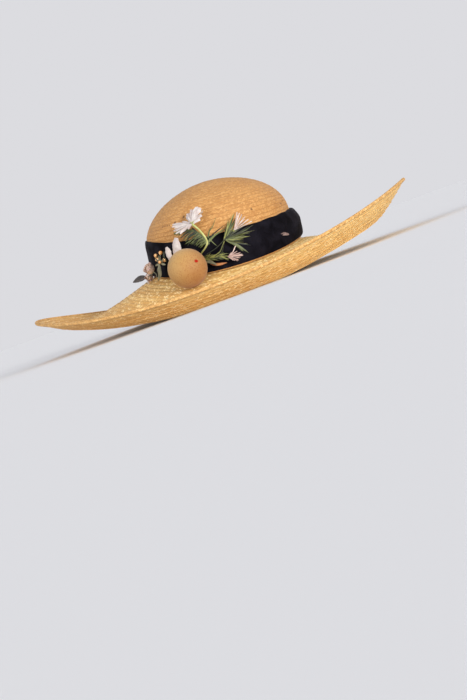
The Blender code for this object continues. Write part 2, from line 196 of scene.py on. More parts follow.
def crownSurface(angle, share):
    # the crown's outside, share 0 at the tip and 1 at the foot, even along the surface
    dome = crown["shoulder"] + crown["rise"] * np.cos(np.linspace(0, 1, 90) * math.pi / 2)
    out = np.empty(share.shape + (3,))
    for k, a in enumerate(angle):
        heights = np.concatenate([dome, np.linspace(crown["shoulder"], crownFoot(a), 20)[1:]])
        radius = oval(wallHalf(heights), a)
        radius[heights >= crown["shoulder"] + crown["rise"] * 0.999999] = 0.02 * mm
        line = leant(radius, a, heights)
        run = np.concatenate([[0], np.cumsum(np.linalg.norm(np.diff(line, axis=0), axis=1))])
        for axis in range(3):
            out[:, k, axis] = np.interp(share[:, k] * run[-1], run, line[:, axis])
    return out


def bandeauSurface(angle, share):
    base = curveOf("baseHeight", angle)
    depth = bandeau["lip"] + bandeau["drop"] * np.clip(np.cos(angle), 0, None) ** bandeau["power"]
    height = base + bandeau["inside"] - (bandeau["inside"] + depth) * share
    halves = wallHalf(np.maximum(base, height) + 2 * mm, 2 * mm + 2 * crown["gap"])
    taper = bandeau["taper"] * np.clip(base - height, 0, None) ** 2 / (bandeau["lip"] + bandeau["drop"])
    return polar(crownMiddle(base), oval((halves[0] - taper, halves[1] - taper), angle), angle, height)


def outOf(surface, angle, share):
    # points of a surface and the direction straight out of it
    step = 0.004
    down = surface(angle, np.clip(share + step, 0, 1)) - surface(angle, np.clip(share - step, 0, 1))
    here = surface(angle, share)
    out = np.cross(down, np.roll(here, -1, axis=1) - np.roll(here, 1, axis=1))
    return here, out / np.linalg.norm(out, axis=-1, keepdims=True)


# mesh building
def meshObject(name, points, faces, uvs, materials, sharp):
    mesh = bpy.data.meshes.new(name)
    mesh.from_pydata(points, [], faces)
    layer = mesh.uv_layers.new(name="plait")
    layer.uv.foreach_set("vector", np.asarray(uvs, np.float32).ravel())
    mesh.validate()
    mesh.shade_smooth()
    mesh.set_sharp_from_angle(angle=math.radians(sharp))
    for one in materials:
        mesh.materials.append(one)
    piece = newObject(name, mesh)
    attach(piece, "root")
    return piece


def ringPiece(name, stack, material, nodes, closed=True, tips=(), sharp=45):
    # joins rings of points; each ring says how many plait cells go round it and which row it is in
    rings, cells, ups, rows = stack
    count, n = rings.shape[:2]
    j = np.arange(count if closed else count - 1)
    after = (j + 1) % count
    k = np.arange(n)
    right = (k + 1) % n
    first, second = j[:, None] * n, after[:, None] * n
    quads = np.stack([first + k, first + right, second + right, second + k], axis=-1)
    u0, u1 = cells[j][:, None] * k / n, cells[j][:, None] * (k + 1) / n
    v0 = np.repeat(ups[j][:, None], n, axis=1)
    v1 = np.repeat(np.where(rows[j] == rows[after], ups[after], ups[j])[:, None], n, axis=1)
    uvs = np.stack([u0, v0, u1, v0, u1, v1, u0, v1], axis=-1).reshape(-1, 2)
    points, faces = rings.reshape(-1, 3), quads.reshape(-1, 4).tolist()
    for ring, upward in tips:
        a, b, tip = ring * n + k, ring * n + right, np.full(n, len(points))
        faces += np.stack([a, b, tip] if upward else [b, a, tip], axis=-1).tolist()
        points = np.vstack([points, rings[ring].mean(axis=0)])
        uvs = np.vstack([uvs, np.tile([0.5, ups[ring]], (3 * n, 1))])
    piece = meshObject(name, points, faces, uvs, [material], sharp)
    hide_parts(*nodes)
    return piece


def wave(angle, key, terms=5, low=2, high=17):
    # a smooth uneven line round the hat, about -1 to 1
    source = np.random.default_rng(key)
    total = 0 * angle
    for turns, phase in zip(source.integers(low, high, terms), source.uniform(0, 6.3, terms)):
        total = total + np.cos(turns * angle + phase)
    return total / terms**0.5


# share across a row of braid, and how far it falls back there in mm
rowProfile = ((0.0, -0.30), (0.10, -0.04), (0.5, 0.10), (0.90, -0.04), (1.0, -0.30))


def braidFace(surface, style, key, off=0.0):
    # rows of braid laid over each other like shingles
    rows = style["rows"]
    angle = roundTurn(style["segments"])
    lines = [j + style["wander"] * wave(angle, key + j) * (0 < j < rows) for j in range(rows + 1)]
    lines = np.array(lines) / rows
    shares, offs, ups, row = [], [], [], []
    for i in range(rows):
        swell = style["swell"] * wave(angle, 300 + key + i)
        for t, drop in rowProfile:
            shares.append(lines[i] * (1 - t) + lines[i + 1] * t)
            offs.append(off + style["lap"] * (0.5 - t) + style["dip"] * drop * mm + swell)
            ups.append(i + t)
            row.append(i)
    shares = np.array(shares)
    here, out = outOf(surface, angle, shares)
    billow = wave(angle, key + 900, 4, 2, 9) * np.sin(3 * shares)
    billow = billow + wave(angle, key + 901, 4, 3, 12) * np.cos(5 * shares)
    offs = np.array(offs) + style["billow"] * billow
    length = np.linalg.norm(here - np.roll(here, 1, axis=1), axis=-1).sum(axis=1)
    length = np.repeat(length.reshape(rows, -1).mean(axis=1), len(rowProfile))
    cells = 2 * np.maximum(1, np.round(length / style["cell"] / 2))
    return [here + out * offs[..., None], cells, np.array(ups), np.array(row)]


def joined(first, second):
    # one stack from two faces, the second turned round
    return [np.concatenate([a, b[::-1]]) for a, b in zip(first, second)]


# nodes
class Field:
    # what a node gives out; sums with it add math nodes to its tree
    def __init__(self, tree, socket):
        self.tree, self.socket = tree, socket

    def math(self, operation, *values, clamp=False):
        links = dict(enumerate((self, *values)))
        return put(self.tree, "Math", links, operation=operation, use_clamp=clamp)

    def __add__(self, other):
        return self.math("ADD", other)

    def __sub__(self, other):
        return self.math("SUBTRACT", other)

    def __rsub__(self, other):
        return put(self.tree, "Math", {0: other, 1: self}, operation="SUBTRACT")

    def __mul__(self, other):
        return self.math("MULTIPLY", other)

    def spread(self, low, high, toLow=0.0, toHigh=1.0, smooth=False):
        links = {0: self, 1: low, 2: high, 3: toLow, 4: toHigh}
        return put(self.tree, "MapRange", links, interpolation_type="SMOOTHSTEP" if smooth else "LINEAR")

    def noise(self, scale, detail=2.0, distortion=0.0):
        links = {"Vector": self, "Scale": scale, "Detail": detail, "Distortion": distortion}
        return put(self.tree, "TexNoise", links)

    def to(self, socket):
        self.tree.links.new(self.socket, socket)


def put(tree, kind, links=None, output=0, **settings):
    # places a node; output is the one wanted, or None for a list of them all
    node = tree.nodes.new("ShaderNode" + kind)
    for key, value in settings.items():
        setattr(node, key, value)
    for key, value in (links or {}).items():
        socket = node.inputs[key]
        if isinstance(value, Field):
            value.to(socket)
        else:
            socket.default_value = (*value, 1) if socket.type == "RGBA" else value
    return [Field(tree, one) for one in node.outputs] if output is None else Field(tree, node.outputs[output])


def blend(share, one, two):
    return put(share.tree, "Mix", {0: share, 6: one, 7: two}, 2, data_type="RGBA")


def combined(x, y, z=0.0):
    return put(x.tree, "CombineXYZ", {0: x, 1: y, 2: z})


def separate(field):
    return put(field.tree, "SeparateXYZ", {0: field}, None)


def drawn(field):
    # a random number of its own for each value, or for each vector
    if field.socket.type == "VECTOR":
        return put(field.tree, "TexWhiteNoise", {"Vector": field})
    return put(field.tree, "TexWhiteNoise", {"W": field}, noise_dimensions="1D")


def newGroup(name, takes, *gives):
    # takes holds each input's default, a float, a colour, or None for a vector
    tree = bpy.data.node_groups.new(name, "ShaderNodeTree")
    for label, value in takes.items():
        kind = "Vector" if value is None else "Color" if isinstance(value, tuple) else "Float"
        socket = tree.interface.new_socket(name=label, in_out="INPUT", socket_type="NodeSocket" + kind)
        if value is not None:
            socket.default_value = (*value, 1) if kind == "Color" else value
    for label in gives:
        kind = "Color" if label == "Color" else "Float"
        tree.interface.new_socket(name=label, in_out="OUTPUT", socket_type="NodeSocket" + kind)
    start, end = tree.nodes.new("NodeGroupInput"), tree.nodes.new("NodeGroupOutput")
    return tree, {label: Field(tree, start.outputs[label]) for label in takes}, end.inputs


def useGroup(tree, group, links):
    return put(tree, "Group", links, None, node_tree=group)


def makePlaitGroup():
    # a two-over-two plait, strand by strand; Plait runs one a cell along and one a row across
    tree, take, give = newGroup("strawPlait", {
        "Plait": None, "Strands": 2.0, "Light Straw": (0.9, 0.6, 0.25), "Deep Straw": (0.5, 0.27, 0.08),
        "Groove Shade": 0.6, "Gloss": 0.5, "Glints": 0.6, "Shade Dots": 0.3, "Side Light": 0.0, "Gap Shade": 0.36, "Rows": 0.1,
    }, "Color", "Roughness", "Height")
    cellAt, rowAt, _ = separate(take["Plait"])
    row, within = rowAt.math("FLOOR"), rowAt.math("FRACT")
    walk = cellAt + (combined(cellAt * 0.11, row * 3.7).noise(1.0) - 0.5) * 3.0
    up = within * take["Strands"]
    one, two = walk + up, walk - up
    cellOne, cellTwo = one.math("FLOOR"), two.math("FLOOR")
    acrossOne, acrossTwo = ((way.math("FRACT") * math.pi).math("SINE") for way in (one, two))
    over = (cellOne + cellTwo).math("FLOORED_MODULO", 4.0).math("LESS_THAN", 1.5)

    def chosen(first, second):
        return put(tree, "Mix", {0: over, 2: first, 3: second}, data_type="FLOAT")

    run = chosen(two + cellOne, one + cellTwo)
    along = (run * (math.pi / 2)).math("SINE").math("ABSOLUTE")
    rise = chosen(acrossOne, acrossTwo) * (along * 0.5 + 0.5)
    which = chosen(cellOne, cellTwo + 0.5)
    tone = drawn(combined(which, row, over))
    cell = drawn(combined(which, (run * 0.25).math("FLOOR"), row))
    scallop = (walk * math.pi).math("SINE").math("ABSOLUTE") * 0.07
    full = (within.math("MINIMUM", 1.0 - within) + scallop).spread(0.02, 0.20, smooth=True)
    gap = rise.spread(0.0, 0.35, 1.0, 0.0, True)
    # colour: the strand's own tone, age, painted light paler towards +X, rows, then painted shade in grooves
    # and gaps, pale flecks of painted glint and random nick marks
    place = put(tree, "NewGeometry")
    # painted light: the straw grows paler towards +X, the side the sun comes from
    sideLight = separate(place)[0] * take["Side Light"]
    rowTone = (drawn(row) - 0.5) * take["Rows"]
    mixAt = tone * 0.42 + (cell * 0.38 + place.noise(26.0, 3.0) * 0.28) + (sideLight + rowTone)
    colour = blend(mixAt.spread(0.34, 0.70), take["Deep Straw"], take["Light Straw"])
    # pale flecks on the strand crests are painted glints
    fleck = (cell * 0.75 + rise * 0.25).spread(0.74, 0.86)
    colour = blend(fleck * take["Glints"], colour, (1.0, 0.78, 0.42))
    # painted shade: darker grooves between rows, broken into dots, and darker gaps between strands
    dotted = cell.spread(0.35, 0.65) * take["Shade Dots"] + (1.0 - take["Shade Dots"])
    shade = (1.0 - full) * take["Groove Shade"] * dotted
    shade = shade.math("MAXIMUM", gap * take["Gap Shade"], clamp=True)
    colour = blend(shade, colour, (0.30, 0.13, 0.035))
    nick = cell.math("GREATER_THAN", 0.997) * rise.spread(0.45, 0.75)
    blend(nick * 0.7, colour, (0.13, 0.055, 0.018)).to(give["Color"])
    (cell * 0.30 + 0.30 + (1.0 - take["Gloss"]) * 0.3).to(give["Roughness"])
    (full * (rise * 0.6 + 0.4) + cell * 0.10).to(give["Height"])
    return tree


def makeFibreGroup():
    # fine streaks along a piece, a tone of its own for each blade, rims painted paler as painted highlight
    # and a soft cloud of colour
    tree, take, give = newGroup("clothFibre", {
        "Along": None, "Streaks": 14.0, "Pale": (1, 1, 1), "Deep": (0.5, 0.5, 0.5), "Cloud": 90.0, "Rim Highlight": 0.0,
        "Own": 0.24,
    }, "Color", "Height")
    strip, along, _ = separate(take["Along"])
    own = drawn((strip * 0.1).math("FLOOR"))
    across = (strip.math("FLOORED_MODULO", 10.0) - 5.0).math("ABSOLUTE")
    streak = combined(strip * take["Streaks"], along * 1.6).noise(1.0, 3.0)
    cloud = put(tree, "NewGeometry").noise(take["Cloud"], 4.0)
    both = streak * 0.5 + cloud * 0.45 + (own - 0.45) * take["Own"]
    # painted highlight: the blade's rims painted paler
    rim = across.spread(0.55, 1.0, smooth=True) * take["Rim Highlight"]
    share = both.spread(0.32, 0.72, smooth=True).math("ADD", rim, clamp=True)
    blend(share, take["Deep"], take["Pale"]).to(give["Color"])
    streak.to(give["Height"])
    return tree


def makeNickAndShadowGroup():
    # a little dark spot with a rough outline, laid over the colour that comes in; it serves for real nick
    # marks and for painted shadow of petals on the crown
    takes = {"Color": (1, 1, 1), "Centre": None, "Radius": 1.5 * mm}
    tree, take, give = newGroup("strawNickAndShadow", takes, "Color")
    place = put(tree, "NewGeometry")
    away = put(tree, "VectorMath", {0: place, 1: take["Centre"]}, 1, operation="DISTANCE")
    away = away + (place.noise(900.0) - 0.5) * take["Radius"]
    mask = away.math("DIVIDE", take["Radius"]).spread(0.55, 1.0, 0.8, 0.0, True)
    blend(mask, take["Color"], (0.09, 0.04, 0.015)).to(give["Color"])
    return tree


plaitGroup, fibreGroup, nickAndShadowGroup = makePlaitGroup(), makeFibreGroup(), makeNickAndShadowGroup()


def newMaterial(name, colour, roughness, sockets):
    made = bpy.data.materials.new(name)
    made.use_nodes = True
    made.diffuse_color = (*colour, 1)
    inputs = made.node_tree.nodes["Principled BSDF"].inputs
    inputs["Base Color"].default_value = (*colour, 1)
    inputs["Roughness"].default_value = roughness
    for label, value in sockets.items():
        inputs[label].default_value = value
    return made, made.node_tree


def dress(made, colour, roughness, height, strength, depth):
    # links what changes over the surface, and a bump of that height, strength and depth
    inputs = made.node_tree.nodes["Principled BSDF"].inputs
    colour.to(inputs["Base Color"])
    roughness.to(inputs["Roughness"])
    links = {"Height": height, "Strength": strength, "Distance": depth}
    put(height.tree, "Bump", links).to(inputs["Normal"])
    return made


# light and deep are the straw's colours; the brim's straw is painted paler than the crown's, partly a real
# difference and partly painted light that makes up for the shade on the brim's underside; plait the inputs
# of the plait that aren't at their defaults, nicksAndShadows the places and radii in mm of dark spots
strawLooks = {
    "brim": {
        "light": (0.88, 0.595, 0.228), "deep": (0.67, 0.365, 0.102), "bump": 0.65, "depth": 0.9 * mm,
        # Side Light paints the brim paler towards +X
        "plait": {"Groove Shade": 0.30, "Gloss": 0.25, "Glints": 0.85, "Side Light": 1.3, "Gap Shade": 0.50, "Rows": 0.30},
        "nicksAndShadows": [
            (176, -99.6, 30.4, 2.0), (182.6, -85.4, 32, 1.7), (124, -140, 12, 1.6), (119, -174, 22, 1.4),
        ],
    },
    "crown": {
        "light": (0.575, 0.297, 0.094), "deep": (0.44, 0.205, 0.056), "bump": 0.65, "depth": 0.6 * mm,
        "plait": {"Strands": 3.0, "Groove Shade": 0.85, "Gloss": 0.35, "Glints": 0.12, "Shade Dots": 1.0, "Gap Shade": 0.55},
        "nicksAndShadows": [
            # the first six, beside the white flower, are painted shadow of its petals; the last two are real
            # nick marks
            (-21.8, -80.4, 95.7, 2.3), (-32.9, -75.5, 93.4, 2.2), (-46.9, -61.1, 94.5, 1.6),
            (-44.4, -64.2, 94.1, 1.5), (-41.9, -67.4, 93.7, 1.5), (-39.6, -69.9, 93.3, 1.5),
            (48.3, -82.9, 78.5, 1.6), (81.4, -41.7, 74.6, 1.8),
        ],
    },
    "edge": {
        "light": (0.72, 0.42, 0.145), "deep": (0.50, 0.26, 0.075), "bump": 0.8, "depth": 0.8 * mm,
        "plait": {"Groove Shade": 0.45, "Gloss": 0.3, "Glints": 0.3, "Shade Dots": 0.4},
    },
    "bandeau": {
        "light": (0.93, 0.58, 0.20), "deep": (0.62, 0.32, 0.085), "bump": 0.8, "depth": 0.8 * mm,
        "plait": {"Strands": 3.0, "Groove Shade": 0.4, "Gloss": 0.6},
    },
}


def strawMaterial(name, look):
    made, tree = newMaterial(name, look["light"], 0.5, {"Specular IOR Level": 0.4})
    colour, roughness, height = useGroup(tree, plaitGroup, {
        "Plait": put(tree, "UVMap", uv_map="plait"), "Light Straw": look["light"],
        "Deep Straw": look["deep"], **look["plait"],
    })
    # dark spots: real nick marks, and on the crown beside the white flower painted shadow of its petals
    for *centre, radius in look.get("nicksAndShadows", ()):
        links = {"Color": colour, "Centre": [x * mm for x in centre], "Radius": radius * mm}
        colour = useGroup(tree, nickAndShadowGroup, links)[0]
    return dress(made, colour, roughness, height, look["bump"], look["depth"])


straw = {name: strawMaterial("straw" + name.capitalize(), look) for name, look in strawLooks.items()}


def makeBrim():
    stack = joined(braidFace(brimSurface, brim, 10), braidFace(brimSurface, brim, 10, brim["wall"]))
    stack[0][..., 2] = np.maximum(stack[0][..., 2], brim["floorGap"])  # its lowest rows lie on the floor
    ringPiece("brimBraid", stack, straw["brim"], ["brim_inner", "brim_outer"])


makeBrim()
print("hat: brim laid")

# bound braid along the edge, with the bulges of its plait; in is how far its middle lies inside the edge
edge = {
    "width": 3.2 * mm, "height": 3.6 * mm, "sides": 14, "segments": 1200, "cell": 2.1 * mm,
    "bulge": 0.16 * mm, "meanRadius": 0.221, "in": 1.0 * mm,
}


def makeEdge():
    angle = roundTurn(edge["segments"])
    radius, height = curveOf("edgeRadius", angle), curveOf("edgeHeight", angle)
    lean = np.arctan(brimSlope(angle, radius - edge["in"]))
    cells = 2 * round(tau * edge["meanRadius"] / edge["cell"] / 2)
    rings = []
    for turn in roundTurn(edge["sides"]):
        crossing = np.abs(np.sin(angle * cells / 2 + turn)) + np.abs(np.sin(angle * cells / 2 - turn))
        bulge = edge["bulge"] * (crossing - 1.2)
        wide = edge["width"] / 2 + crown["gap"] + math.cos(turn) * (edge["width"] / 2 + bulge)
        tall = edge["in"] + math.sin(turn) * (edge["height"] / 2 + bulge)
        outward, upward = around(wide, -tall, lean), around(tall, wide, lean)
        rings.append(polar(0, radius + outward, angle, height + upward))
    count = edge["sides"]
    ups, rows = 2.0 * np.arange(count) / count, np.arange(count) // (count // 2)
    stack = [np.array(rings), np.full(count, float(cells)), ups, rows]
    ringPiece("edgeBraid", stack, straw["edge"], ["brim_edge"], sharp=60)


def makeCrown():
    stack = joined(braidFace(crownSurface, crown, 40, -crown["wall"]), braidFace(crownSurface, crown, 40))
    tips = [(0, False), (len(stack[0]) - 1, True)]
    ringPiece("crownBraid", stack, straw["crown"], ["crown"], closed=False, tips=tips)


def makeBandeau():
    faces = [braidFace(bandeauSurface, bandeau, 70, off) for off in (-bandeau["wall"], 0.0)]
    ringPiece("bandeauBraid", joined(*faces), straw["bandeau"], ["bandeau"])


makeEdge()
makeCrown()
makeBandeau()
print("hat: crown and bandeau laid")

# ribbon; puff is the soft fold at the right, lap the end of the ribbon laid over its beginning at the back
ribbon = {
    "width": 37.5 * mm, "slant": 1.5 * mm, "wall": 1.2 * mm, "off": 0.5 * mm, "lift": 1.2 * mm,
    "puff": 5.2 * mm, "puffAt": math.radians(-15), "puffPower": 4, "puffTop": 1.15, "fullness": 0.5,
    "sag": 3.5 * mm, "crease": 0.14 * mm, "frill": 0.25 * mm, "rim": 0.35 * mm, "rings": 30, "segments": 400,
    "lapFrom": math.radians(141), "lapTo": math.radians(153), "lapLean": math.radians(3), "lapEase": 0.10,
    # pile is the velvet's colour; the paler mottles are partly its own tone and partly painted sheen
    "pile": (0.0018, 0.0015, 0.0030), "brushedSheen": (0.0075, 0.0068, 0.012), "sheenTint": (0.58, 0.58, 0.72, 1),
}


def velvetMaterial():
    made, tree = newMaterial("velvet", (0.005, 0.0045, 0.008), 0.85, {
        "Sheen Weight": 0.08, "Sheen Roughness": 0.28, "Sheen Tint": ribbon["sheenTint"],
        "Specular IOR Level": 0.07,
    })
    place = put(tree, "NewGeometry")
    pile, brushedSheen = place.noise(1400.0), place.noise(60.0, 4.0, 0.6)
    # paler bluish mottles in the colour: partly the pile's own tone, partly painted sheen
    share = (brushedSheen * 0.7 + pile * 0.3).spread(0.38, 0.66, smooth=True)
    colour = blend(share, ribbon["pile"], ribbon["brushedSheen"])
    return dress(made, colour, brushedSheen.spread(0.3, 0.7, 0.95, 0.70), pile, 0.5, 0.3 * mm)


def ribbonFace(extra):
    angle = roundTurn(ribbon["segments"])
    raised = np.clip(np.cos(angle - ribbon["puffAt"]), 0, None) ** ribbon["puffPower"]
    width = ribbon["width"] - ribbon["slant"] * np.cos(angle)
    shares = np.linspace(0, 1, ribbon["rings"] + 1)
    rings = []
    for share in shares:
        full = max(0.0, math.sin(math.pi * share))
        crease = wave(angle + 0.5 * share, 77, 4, 2, 9) * np.sin(9 * share + wave(angle, 78, 3, 1, 5)) * full
        swollen = max(0.0, math.sin(math.pi * share ** ribbon["puffTop"])) ** ribbon["fullness"]
        off = ribbon["off"] + ribbon["puff"] * raised * swollen
        off = off + ribbon["crease"] * (0.4 + 2.2 * raised) * (crease + 1) * full
        lean = ribbon["lapLean"] * share
        start, end = ribbon["lapFrom"] - lean, ribbon["lapTo"] + lean
        off = off + ribbon["wall"] * np.clip((angle - start) / ribbon["lapEase"] + 1, 0, 1) * (angle < end)
        rounded = ribbon["rim"] * (1 - min(1.0, min(share, 1 - share) * 18)) * (1 if extra else -0.4)
        frill = ribbon["frill"] * wave(angle, 79, 5, 5, 23) * (share > 0.5)
        height = crownFoot(angle) + ribbon["lift"] + width * share + frill - ribbon["sag"] * raised * share**3
        rings.append(crownPoint(angle, height, off + extra - rounded))
    count = len(rings)
    return [np.array(rings), np.full(count, float(ribbon["segments"])), shares, np.zeros(count, int)]


def makeRibbon():
    stack = joined(ribbonFace(ribbon["wall"]), ribbonFace(0.0))
    piece = ringPiece("velvetRibbon", stack, velvetMaterial(), ["hat_band"])


makeRibbon()
print("hat: ribbon on")

# trim: how wide a blade is along its length, from 0 at its root to 1 at its tip
forms = {
    "needle": lambda t: 0.35 + 0.65 * np.sin(np.pi * t**0.8) ** 0.6 if t < 0.999 else 0.05,
    "grass": lambda t: 0.9 * (1 - t) ** 0.45 + 0.08,
    "petal": lambda t: 0.22 + 0.78 * np.sin(np.pi * min(t, 0.97) ** 1.2) ** 0.75,
    "leaf": lambda t: 0.08 + 0.92 * np.sin(np.pi * min(t, 0.985) ** 0.85) ** 0.8,
    "strap": lambda t: 0.5 + 0.5 * np.sin(np.pi * min(t, 0.96) ** 2.2) ** 0.6,
}


def unit(way):
    return np.asarray(way, float) / np.linalg.norm(way)


def crownOut(point):
    # straight out of the crown at a point in mm
    middle = crownMiddle(point[2] * mm) / mm
    return unit(np.array([point[0] - middle, point[1], 0.0]))


def pushed(point, off):
    return np.asarray(point, float) + off * crownOut(point)


def cornersOf(node):
    return np.array(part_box(node)) / mm


def middleOf(node):
    return cornersOf(node).mean(axis=0)


def smoothLine(points, count):
    p = np.array(points, float)
    full = np.vstack([2 * p[0] - p[1], p, 2 * p[-1] - p[-2]])
    made = []
    for at in np.linspace(0, len(p) - 1, count + 1):
        i = min(int(at), len(p) - 2)
        t = at - i
        a, b, c, d = full[i : i + 4]
        square, cube = 2 * a - 5 * b + 4 * c - d, 3 * b - a - 3 * c + d
        made.append(0.5 * (2 * b + (c - a) * t + square * t**2 + cube * t**3))
    return np.array(made)


def stationsOf(path, count, facing=None):
    # along a smooth line: the share of its length, the place, sideways, and the way that the piece faces
    line = smoothLine(path, count)
    for j, here in enumerate(line):
        along = unit(line[min(j + 1, count)] - line[max(j - 1, 0)])
        side = unit(np.cross(along, crownOut(here) if facing is None else facing))
        yield j / count, here, side, np.cross(side, along)


class Trim:
    # gathers closed blades, stems and balls, all in mm, into one mesh
    def __init__(self):
        self.points, self.faces, self.uvs, self.slots = [], [], [], []

    def tube(self, rings, across, slot):
        # rings (stations, m, 3) joined into a closed tube with its ends filled; each has a strip of the map
        rings = np.array(rings) * mm
        across = [10 * len(self.points) + 5 + x for x in across]
        last, m = rings.shape[0] - 1, rings.shape[1]
        first = sum(len(p) for p in self.points)
        self.points.append(rings.reshape(-1, 3))
        faces = []
        for j in range(last):
            for k in range(m):
                faces.append([(j, k), (j, (k + 1) % m), (j + 1, (k + 1) % m), (j + 1, k)])
        faces += [[(0, k) for k in reversed(range(m))], [(last, k) for k in range(m)]]
        for face in faces:
            self.faces.append([first + j * m + k for j, k in face])
            self.uvs += [(across[k], j / last) for j, k in face]
        self.slots += [slot] * len(faces)

    def blade(self, path, width, thick=0.35, form="grass", slot=0, stations=8, across=2, cup=0.0, ragged=0.0,
              twist=0.0, facing=None, curl=0.0):
        # cup bends it across, ragged notches its sides, twist turns it and curl lifts its tip
        xs = [-1 + 2 * k / across for k in range(across + 1)] + [1 - 2 * k / across for k in range(1, across)]
        faces = [1] * (across + 1) + [-1] * (across - 1)
        rings = []
        for t, here, side, out in stationsOf(path, stations, facing):
            side, out = around(side, out, twist * t), around(out, -side, twist * t)
            half = width / 2 * float(forms[form](t))
            ring = []
            for x, face in zip(xs, faces):
                body = thick / 2 * face * math.sqrt(1 - 0.96 * x * x)
                reach = half * (1 + (ragged * rng.uniform(-1, 0.6) if abs(x) > 0.99 else 0))
                lift = body + cup * x * x * half + curl * t * t * abs(x)
                ring.append(here + side * x * reach + out * lift)
            rings.append(ring)
        self.tube(rings, xs, slot)

    def stem(self, path, thick, slot=0, stations=14, sides=8, swell=lambda t: 1):
        rings = []
        for t, here, side, out in stationsOf(path, stations):
            rings.append([here + thick / 2 * swell(t) * around(side, out, turn) for turn in roundTurn(sides)])
        self.tube(rings, np.arange(sides) / sides, slot)

    def ball(self, centre, radii, axis=(0, 0, 1), slot=0, rings=10, sides=14, lumps=0.0, key=3):
        # lumps is how uneven it is
        axis = unit(axis)
        side = unit(np.cross(axis, (0.3, 1, 0.2)))
        other = np.cross(axis, side)
        source = np.random.default_rng(key)
        dents = [(source.normal(size=3), source.uniform(0, 6.3)) for _ in range(6)]
        made = []
        for j in range(rings + 1):
            fall = math.pi * (0.02 + 0.96 * j / rings)
            upward, ring = -math.cos(fall) * axis, []
            for turn in roundTurn(sides):
                outward = around(side, other, turn) * math.sin(fall)
                uneven = 1 + lumps * sum(math.sin(2.2 * (outward + upward) @ d + p) for d, p in dents) / 3
                ring.append(np.asarray(centre) + (radii[0] * outward + radii[1] * upward) * uneven)
            made.append(ring)
        self.tube(made, np.arange(sides) / sides, slot)

    def finish(self, name, finishes, node, slot, sharp=50):
        materials = [cloth[one] for one in finishes.split()]
        piece = meshObject(name, np.vstack(self.points), self.faces, self.uvs, materials, sharp)
        piece.data.polygons.foreach_set("material_index", np.array(self.slots, np.int32))
        if node:
            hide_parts(node)


def clothMaterial(name, pale, deep, roughness, streaks, cloud, rim=0.0, own=0.24, sockets=None):
    made, tree = newMaterial(name, pale, roughness, sockets or {})
    colour, streak = useGroup(tree, fibreGroup, {
        "Along": put(tree, "UVMap", uv_map="plait"), "Streaks": streaks, "Pale": pale, "Deep": deep,
        "Cloud": cloud, "Rim Highlight": rim, "Own": own,
    })
    rough = streak.spread(0.2, 0.8, roughness + 0.12, roughness - 0.12)
    return dress(made, colour, rough, streak, 0.35, 0.25 * mm)


# pale and deep colour, roughness, streaks across, size of the cloud, rim painted paler as painted highlight,
# each blade's own tone
petalGlow = {"Subsurface Weight": 0.12, "Subsurface Radius": (0.003, 0.002, 0.0015)}
dullSkin = {"Specular IOR Level": 0.1}
clothLooks = {
    "needleGreen": ((0.25, 0.26, 0.07), (0.010, 0.015, 0.005), 0.5, 3, 260, 0.25, 0.9),
    "featherGreen": ((0.12, 0.145, 0.040), (0.008, 0.013, 0.005), 0.5, 3, 260, 0.2, 0.8),
    "stemGreen": ((0.58, 0.565, 0.24), (0.33, 0.36, 0.10), 0.5, 3, 240),
    "petalWhite": ((0.64, 0.60, 0.575), (0.40, 0.325, 0.305), 0.7, 9, 220, 0.0, 0.24, petalGlow),
    "petalPink": ((0.72, 0.60, 0.54), (0.50, 0.33, 0.27), 0.7, 7, 220),
    "roseMauve": ((0.66, 0.49, 0.46), (0.36, 0.23, 0.20), 0.7, 6, 260),
    "rosePink": ((0.84, 0.68, 0.57), (0.48, 0.32, 0.24), 0.7, 6, 260),
    # the petal on the ribbon: pink painted darker as painted shade
    "shadedPetal": ((0.34, 0.24, 0.22), (0.13, 0.085, 0.08), 0.7, 7, 220),
    "oliveGreen": ((0.27, 0.26, 0.165), (0.095, 0.090, 0.048), 0.6, 7, 220),
    "darkLeafCloth": ((0.15, 0.13, 0.125), (0.045, 0.040, 0.038), 0.75, 8, 200),
    "amberPetal": ((0.50, 0.20, 0.06), (0.28, 0.10, 0.035), 0.6, 6, 220),
    "redFleck": ((0.50, 0.024, 0.012), (0.34, 0.014, 0.008), 0.8, 3, 300, 0.0, 0.24, dullSkin),
}
cloth = {name: clothMaterial(name, *look) for name, look in clothLooks.items()}
cloth["strawEdge"] = straw["edge"]

# fruit: yellow at its left, orange at its lower right, with rust dots and one red fleck
fruit = {
    "radius": 21.0, "squash": 0.985, "axis": (-0.35, 0.75, -0.5), "lumps": 0.012,
    "fleck": (11.5, -17.1, 3.8), "fleckSize": (2.3, 1.7), "fleckRise": 1.012,
    "left": (0.40, 0.234, 0.072), "right": (0.312, 0.128, 0.033), "cloud": (0.53, 0.335, 0.14),
    "dots": (0.25, 0.085, 0.018), "toRight": (0.80, -0.1, -0.60),
}


